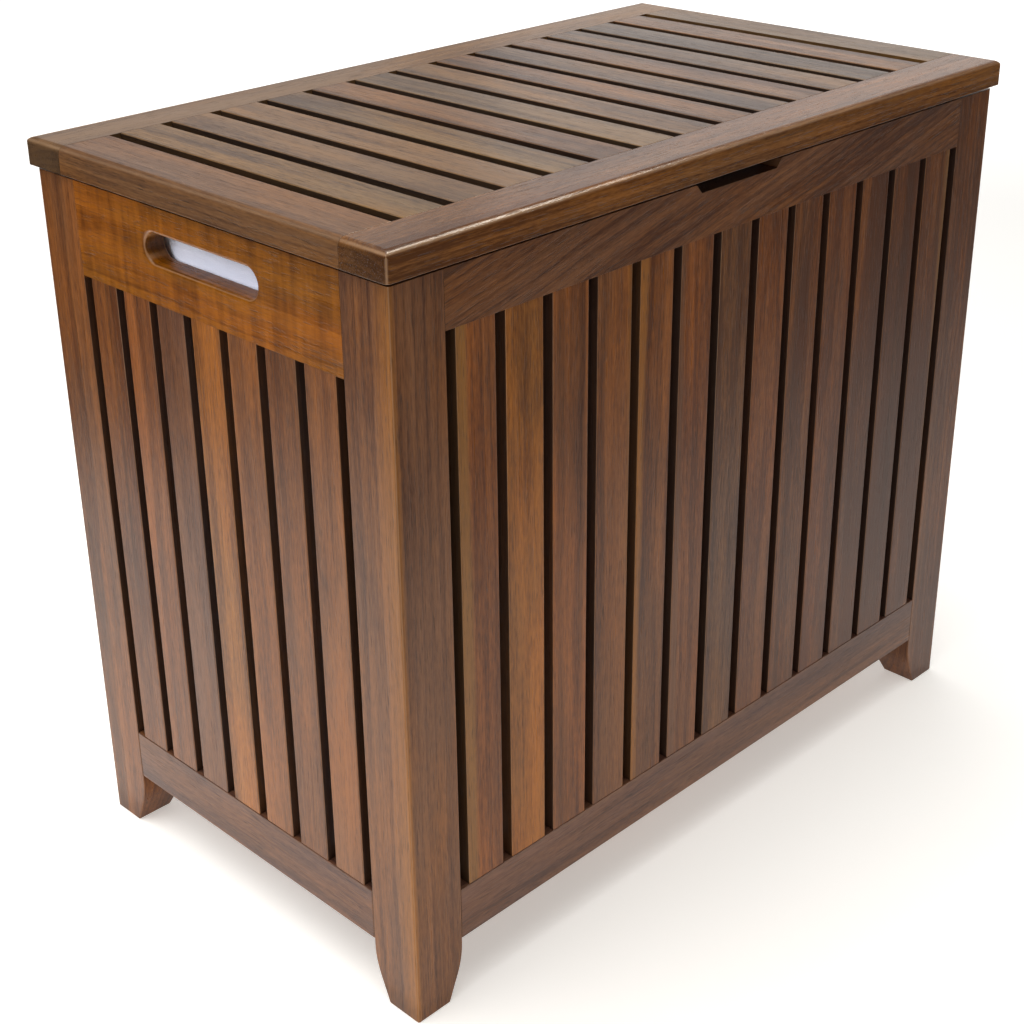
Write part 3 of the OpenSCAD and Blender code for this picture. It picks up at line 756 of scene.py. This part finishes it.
SETTLE_FRAMES = 36
PIN_REACH = 9 * MM  # how far round a stud its eyelet holds the cloth
SLACK = 0.028  # how much the cloth is larger than the space that it hangs in
HEM_SLACK = 0.005
CRUMPLE = 2.2 * MM  # unevenness that the cloth starts with, so that it folds
CRUMPLE_SCALE = 14  # waves per metre
CRUMPLE_NOISE = (0.8, 2.0, 3)  # dimension, lacunarity and octaves of its fractal
TOUCH = 1 * MM  # distance at which the cloth meets the floor boards
CANVAS = dict(  # settings of the simulation
    quality=6, mass=0.12, tension_stiffness=20, compression_stiffness=20, shear_stiffness=8,
    bending_stiffness=0.12, air_damping=3, vertex_group_mass="pins", vertex_group_shrink="firm",
    shrink_min=-SLACK, shrink_max=-HEM_SLACK)

bag_low, bag_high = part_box("laundry_bag")
half_l = bag_high.x - BAG_WALL / 2
half_w = bag_high.y - BAG_WALL / 2
corner_sum = BAG_CORNER_SUM - BAG_WALL / math.sqrt(2)
rim_z = bag_high.z
base_z = bag_low.z + BAG_WALL / 2


def new_piece(name, mesh, material):
    """A piece of the bag, which stays with the body of the hamper."""
    piece = new_object(name, mesh)
    mesh.materials.append(material)
    for face in mesh.polygons:
        face.use_smooth = True
    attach(piece, "hamper")
    return piece


def bag_outline():
    """The plan of the bag, as points at equal steps round it, and the step."""
    near_x, near_y = corner_sum - half_w, corner_sum - half_l
    corners = [Vector(p) for p in (
        (-near_x, -half_w), (near_x, -half_w), (half_l, -near_y), (half_l, near_y),
        (near_x, half_w), (-near_x, half_w), (-half_l, near_y), (-half_l, -near_y))]
    sides = list(zip(corners, corners[1:] + corners[:1]))
    around = sum((b - a).length for a, b in sides)
    count = round(around / CLOTH_STEP)
    points = []
    for k in range(count):
        left = k * around / count
        for a, b in sides:
            if left <= (b - a).length:
                points.append(a + (b - a).normalized() * left)
                break
            left -= (b - a).length
    return points, around / count


def bag_mesh(outline, step):
    """The flat-walled bag that the simulation starts from: rows down the walls, then rings across the
    bottom. Its UVs are in metres of cloth."""
    count = len(outline)
    rows = round((rim_z - base_z) / CLOTH_STEP)
    rings = round(half_w / CLOTH_STEP)
    points, uvs, grid = [], [], []
    for j in range(rows + 1):
        z = rim_z + (base_z - rim_z) * j / rows
        grid.append([len(points) + k for k in range(count)])
        points += [(p.x, p.y, z) for p in outline]
        uvs += [(k * step, z) for k in range(count)]
    found = {}
    for j in range(1, rings + 1):
        ring = []
        for p in outline:
            middle = Vector((max(half_w - half_l, min(half_l - half_w, p.x)), 0))
            at = p.lerp(middle, j / rings)
            key = (round(at.x, 5), round(at.y, 5))
            if key not in found:
                found[key] = len(points)
                points.append((at.x, at.y, base_z))
                uvs.append((at.x, at.y))
            ring.append(found[key])
        grid.append(ring)

    faces, corners = [], []
    for upper, lower in zip(grid, grid[1:]):
        on_wall = upper[0] < rows * count
        for k in range(count):
            n = (k + 1) % count
            quad = list(dict.fromkeys((upper[k], lower[k], lower[n], upper[n])))
            if len(quad) < 3:
                continue
            faces.append(quad)
            for v in quad:
                last_column = on_wall and k == count - 1 and v in (upper[n], lower[n])
                floor_edge = not on_wall and v < (rows + 1) * count
                uv = (count * step, uvs[v][1]) if last_column else points[v][:2] if floor_edge else uvs[v]
                corners.append(uv)
    mesh = new_mesh("bag_cloth", points, faces)
    layer = mesh.uv_layers.new(name="cloth")
    for loop, uv in zip(layer.data, corners):
        loop.uv = uv
    return mesh, rows, count


def stud_places():
    """Where the studs go through the cloth, with the way out of the bag there."""
    z = rim_z - STUD_DROP
    places = [(Vector((x, side * half_w, z)), Vector((0, side, 0))) for side in (-1, 1) for x in FRONT_STUDS]
    places += [(Vector((side * half_l, y, z)), Vector((side, 0, 0))) for side in (-1, 1) for y in END_STUDS]
    return places


def crumple(mesh, pins):
    """Pushes the walls in unevenly, but for the places that the studs hold."""
    for v in mesh.vertices:
        push = fractal(v.co * CRUMPLE_SCALE, *CRUMPLE_NOISE) * CRUMPLE
        inward = Vector((v.co.x / half_l, v.co.y / half_w, 0))
        v.co -= inward * (CRUMPLE + push) * (0 if v.index in pins else 1)


def make_boards():
    """A plane at the top of the floor boards, for the cloth to lie on."""
    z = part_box("floor_slats")[1].z
    points = [(-1, -1, z), (1, -1, z), (1, 1, z), (-1, 1, z)]
    boards = new_object("boards", new_mesh("boards", points, [(0, 1, 2, 3)]))
    boards.modifiers.new("collision", "COLLISION")
    boards.collision.thickness_outer = TOUCH
    boards.collision.cloth_friction = 20
    return boards


def settle(cloth, pins, firm):
    """Lets the cloth hang from its studs and lie on the floor boards, and keeps the result."""
    mesh = cloth.data
    crumple(mesh, pins)
    for name, chosen in (("pins", sorted(pins)), ("firm", firm)):
        cloth.vertex_groups.new(name=name).add(chosen, 1.0, "REPLACE")
    boards = make_boards()
    modifier = cloth.modifiers.new("cloth", "CLOTH")
    for name, value in CANVAS.items():
        setattr(modifier.settings, name, value)
    modifier.collision_settings.distance_min = TOUCH
    modifier.collision_settings.use_self_collision = False
    for step in range(1, SETTLE_FRAMES + 1):
        scene.frame_set(step)
    hung = cloth.evaluated_get(bpy.context.evaluated_depsgraph_get()).data
    settled = [v.co.copy() for v in hung.vertices]
    cloth.modifiers.remove(modifier)
    bpy.data.objects.remove(boards)
    scene.frame_set(1)
    for v, at in zip(mesh.vertices, settled):
        v.co = at


def keep_inside(mesh):
    """Moves what swung out past the CAD bag's walls back to them, as the rails and slats would."""
    for v in mesh.vertices:
        x = max(-half_l, min(half_l, v.co.x))
        y = max(-half_w, min(half_w, v.co.y))
        over = abs(x) + abs(y) - corner_sum
        if over > 0:
            x -= math.copysign(over / 2, x)
            y -= math.copysign(over / 2, y)
        v.co = (x, y, max(base_z, min(rim_z, v.co.z)))


def thicken(piece, thick):
    solid = piece.modifiers.new("thickness", "SOLIDIFY")
    solid.thickness = thick
    solid.offset = 0
    smooth = piece.modifiers.new("smooth", "SUBSURF")
    smooth.levels = smooth.render_levels = 1


def joined(name, parts):
    """One mesh of several (points, faces)."""
    points, faces = [], []
    for more_points, more_faces in parts:
        first = len(points)
        points += more_points
        faces += [[first + v for v in face] for face in more_faces]
    return new_mesh(name, points, faces)


# ------------------------------------------------------------------ seams, stitches and eyelets

EYELET_PROFILE = (  # radius and height in mm, round one section
    (2.6, -0.9), (2.8, -1.15), (3.4, -1.25), (5.4, -1.22), (6.1, -1.1), (6.4, -0.8),
    (6.4, 0.8), (6.1, 1.1), (5.4, 1.22), (3.4, 1.25), (2.8, 1.15), (2.6, 0.9))
STITCH_PATH = ((-1, -0.5), (-0.75, 0.1), (0, 0.35), (0.75, 0.1), (1, -0.5))  # in half lengths and radii


def tube(path, radius, closed=False, sides=8):
    """Points and faces of a round tube along a path."""
    points, faces = [], []
    count = len(path)
    for k, p in enumerate(path):
        before = path[k - 1] if closed or k else p
        after = path[(k + 1) % count] if closed or k < count - 1 else p
        along = (after - before).normalized()
        side = along.cross(UP if abs(along.z) < 0.8 else AXES["X"]).normalized()
        up = side.cross(along)
        for n in range(sides):
            turn = 2 * math.pi * n / sides
            points.append(p + side * math.cos(turn) * radius + up * math.sin(turn) * radius)
    for k in range(count if closed else count - 1):
        for n in range(sides):
            a, b = k * sides, ((k + 1) % count) * sides
            faces.append((a + n, a + (n + 1) % sides, b + (n + 1) % sides, b + n))
    if not closed:
        faces += [tuple(range(sides))[::-1], tuple(range(len(points) - sides, len(points)))]
    return points, faces


def stitch(middle, along, out):
    """A short thread that dips into the cloth at both ends."""
    path = [middle + along * (STITCH_LENGTH / 2) * a + out * STITCH_RADIUS * b for a, b in STITCH_PATH]
    return tube(path, STITCH_RADIUS, sides=6)


def stitch_row(path, lift):
    """Stitches at equal steps along a closed path, lifted off it on both faces of the cloth."""
    parts = []
    left = 0.0
    for a, b in zip(path, path[1:] + path[:1]):
        along = (b - a).normalized()
        out = along.cross(UP).normalized()
        while left < (b - a).length:
            for face in (-1, 1):
                parts.append(stitch(a + along * left + out * face * lift, along, out * face))
            left += STITCH_STEP
        left -= (b - a).length
    return parts


def eyelet(place, out, sides=32):
    """A pressed ring that goes through the cloth."""
    side = out.cross(UP)
    count = len(EYELET_PROFILE)
    points, faces = [], []
    for n in range(sides):
        turn = 2 * math.pi * n / sides
        ray = side * math.cos(turn) + UP * math.sin(turn)
        points += [place + ray * r * MM + out * h * MM for r, h in EYELET_PROFILE]
    for n in range(sides):
        a, b = n * count, ((n + 1) % sides) * count
        for k in range(count):
            m = (k + 1) % count
            faces.append((a + k, b + k, b + m, a + m))
    return points, faces


def hem_of(mesh, at, count):
    """The doubled hem: the first count points of the cloth's mesh, and the faces between them with their
    UVs."""
    faces = [f.vertices[:] for f in mesh.polygons if max(f.vertices) < count]
    hem_mesh = new_mesh("bag_hem", at[:count], faces)
    layer = hem_mesh.uv_layers.new(name="cloth")
    for loop, uv in zip(layer.data, mesh.uv_layers["cloth"].data):
        loop.uv = uv.uv
    return hem_mesh


def make_bag():
    """The cloth, hung, then what is sewn and pressed on to it. Returns the pieces of textile."""
    outline, step = bag_outline()
    mesh, rows, count = bag_mesh(outline, step)
    cloth = new_piece("bag_cloth", mesh, COTTON)
    studs = stud_places()
    hem_rows = round(HEM_DEPTH / CLOTH_STEP)
    hem_end = (hem_rows + 1) * count
    pins = {v for v in range(hem_end) if any((mesh.vertices[v].co - p).length < PIN_REACH for p, _ in studs)}
    settle(cloth, pins, list(range(hem_end)))
    keep_inside(mesh)
    at = [v.co.copy() for v in mesh.vertices]

    def row(j):
        return at[j * count:(j + 1) * count]

    hem = new_piece("bag_hem", hem_of(mesh, at, hem_end), COTTON)
    thicken(cloth, CLOTH_THICK)
    thicken(hem, HEM_THICK)

    rows_sewn = [[p.lerp(q, 0.5) for p, q in zip(row(j), row(j + 1))] for j in (0, hem_rows - 1)]
    threads = [part for path in rows_sewn for part in stitch_row(path, HEM_THICK / 2)]
    stitches = new_piece("bag_stitches", joined("bag_stitches", threads), STITCHING)

    seams = [tube(row(rows), BASE_SEAM_RADIUS, closed=True)]
    for corner in (Vector((x * half_l, y * half_w)) for x in (-1, 1) for y in (-1, 1)):
        k = min(range(count), key=lambda n: (outline[n] - corner).length)
        seams.append(tube([row(j)[k] for j in range(hem_rows, rows + 1)], CORNER_SEAM_RADIUS))
    seam = new_piece("bag_seams", joined("bag_seams", seams), COTTON)
    rings = joined("bag_eyelets", [eyelet(place, out) for place, out in studs])
    eyelets = new_piece("bag_eyelets", rings, BRASS)

    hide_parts("laundry_bag")
    return [cloth, hem, stitches, seam]


bag_pieces = make_bag()

# ------------------------------------------------------------------ studio

WORLD = 0.24
FLOOR_REACH = 8.0
# The floor is a faint light table, brighter under the hamper, where it fills the shadow
GLOW_NEAR = 0.42
GLOW_FAR = 0.12
GLOW_REACH = (0.45, 1.0)  # metres from the middle, where the near glow ends and the far glow begins
HORIZON_GLOW = 0.5  # added far off, where the soft boxes don't reach
HORIZON_REACH = (1.5, 2.8)
BACKDROP_RADIUS, BACKDROP_HEIGHT, BACKDROP_SIDES = 7.5, 9.0, 64
BACKDROP_GLOW = 0.88
FLAG_REACH = 2.0

# Soft boxes: place, target, size in metres, radiance and tint
SOFT_BOXES = {
    "top_box": ((-0.7, 0.6, 2.6), (-0.3, 0.3, 0), (3.2, 3.2), 3.3, (1.0, 0.98, 0.94)),
    "rear_box": ((1.1, 3.0, 1.2), (0, 0, 0.4), (2.4, 2.2), 0.47, (1, 1, 1)),
    "right_box": ((3.0, 1.4, 1.2), (0, 0, 0.4), (2.6, 2.2), 0.80, (1, 1, 1)),
    "rim": ((0.9, -0.25, 2.0), (-0.3, -0.17, 0.52), (0.4, 0.7), 30.0, (1.0, 0.93, 0.80)),
    "bounce_left": ((-0.78, 0.25, 0.01), (-0.78, 0.25, 1), (0.95, 1.3), 0.42, (1.0, 0.96, 0.89)),
    "bounce_front": ((-0.05, -0.41, 0.01), (-0.05, -0.41, 1), (0.9, 0.5), 0.10, (1.0, 0.92, 0.80)),
    "slot_light": ((-1.6, 0.0, 1.35), (-0.28, 0, 0.47), (0.8, 0.8), 11.5, (0.87, 0.91, 1.0)),
}


def new_stage(name, points, faces, material):
    """A piece of the studio, which is no part of the object."""
    mesh = new_mesh(name, points, faces)
    mesh.materials.append(material)
    piece = new_object(name, mesh)
    return piece


def make_floor():
    material, tree, shader = new_material(
        "studio_floor", Roughness=0.7, Specular_IOR_Level=0.2, Emission_Color=colour(1.0, 0.97, 0.92))
    place = place_in(tree)
    away = vector_calc(tree, "LENGTH", place)
    glow = ramp(tree, away, *GLOW_REACH, GLOW_NEAR, GLOW_FAR)
    glow = calc(tree, "ADD", glow, ramp(tree, away, *HORIZON_REACH, 0, HORIZON_GLOW))
    tree.links.new(glow, shader.inputs["Emission Strength"])
    paper = noise(tree, place, 3, detail=3)
    drive(tree, shader, mix(tree, paper, colour(0.90, 0.90, 0.90), colour(0.94, 0.94, 0.94)))
    corners = [(x * FLOOR_REACH, y * FLOOR_REACH, 0) for x, y in ((-1, -1), (1, -1), (1, 1), (-1, 1))]
    new_stage("floor", corners, [(0, 1, 2, 3)], material)


def make_backdrop():
    """A pale wall round the set, which only the camera sees, for views from low down."""
    sides = BACKDROP_SIDES
    turns = [2 * math.pi * k / sides for k in range(sides)]
    ring = [(BACKDROP_RADIUS * math.cos(a), BACKDROP_RADIUS * math.sin(a)) for a in turns]
    points = [(x, y, z) for z in (0, BACKDROP_HEIGHT) for x, y in ring]
    faces = [(k, (k + 1) % sides, sides + (k + 1) % sides, sides + k) for k in range(sides)]
    material = new_material(
        "backdrop_paper", Base_Color=colour(0, 0, 0), Roughness=1.0,
        Emission_Color=colour(1.0, 0.99, 0.97), Emission_Strength=BACKDROP_GLOW)[0]
    backdrop = new_stage("backdrop", points, faces, material)
    backdrop.visible_diffuse = backdrop.visible_glossy = backdrop.visible_shadow = False
    backdrop.visible_transmission = backdrop.visible_volume_scatter = False


def make_flag(name, foot, way, height):
    """A black flag at the side of the set, which only reflections see: it keeps the sheen off the upper
    walls. It stands on the floor at foot and runs along way, FLAG_REACH to each side."""
    foot = Vector(foot)
    along = Vector(way).normalized() * FLAG_REACH
    points = [foot - along, foot + along, foot + along + UP * height, foot - along + UP * height]
    material = new_material("flag_cloth", Base_Color=colour(0.01, 0.01, 0.01), Roughness=0.9)[0]
    flag = new_stage(name, points, [(0, 1, 2, 3)], material)
    flag.visible_camera = flag.visible_diffuse = flag.visible_shadow = False
    flag.visible_transmission = flag.visible_volume_scatter = False


def make_light(name, place, target, size, radiance, tint):
    """A soft box of that radiance, which the camera doesn't see."""
    data = bpy.data.lights.new(name, "AREA")
    data.shape = "RECTANGLE"
    data.size, data.size_y = size
    data.energy = radiance * math.pi * size[0] * size[1]
    data.color = tint
    light = new_object(name, data)
    light.location = place
    light.rotation_euler = (Vector(target) - Vector(place)).to_track_quat("-Z", "Y").to_euler()
    light.visible_camera = False
    return light


def light_only(light, pieces):
    """Lets the light reach these pieces only."""
    chosen = bpy.data.collections.new(f"{light.name}_lit")
    for piece in pieces:
        chosen.objects.link(piece)
    light.light_linking.receiver_collection = chosen


def make_world():
    world = bpy.data.worlds.new("studio")
    world.use_nodes = True
    background = world.node_tree.nodes["Background"]
    background.inputs["Color"].default_value = colour(1.0, 0.98, 0.94)
    background.inputs["Strength"].default_value = WORLD
    scene.world = world


make_floor()
make_backdrop()
make_world()
lights = {name: make_light(name, *box) for name, box in SOFT_BOXES.items()}
lights["rim"].visible_diffuse = False  # it only draws the bright line along the lid's front edge
light_only(lights["slot_light"], bag_pieces)
make_flag("flag_left", (-0.69, 0.69, 0), (-1, -1, 0), 2.2)
make_flag("flag_front", (0.8, -0.66, 0), (1, 0, 0), 1.2)
scene.view_settings.view_transform = "Standard"
scene.view_settings.look = "None"
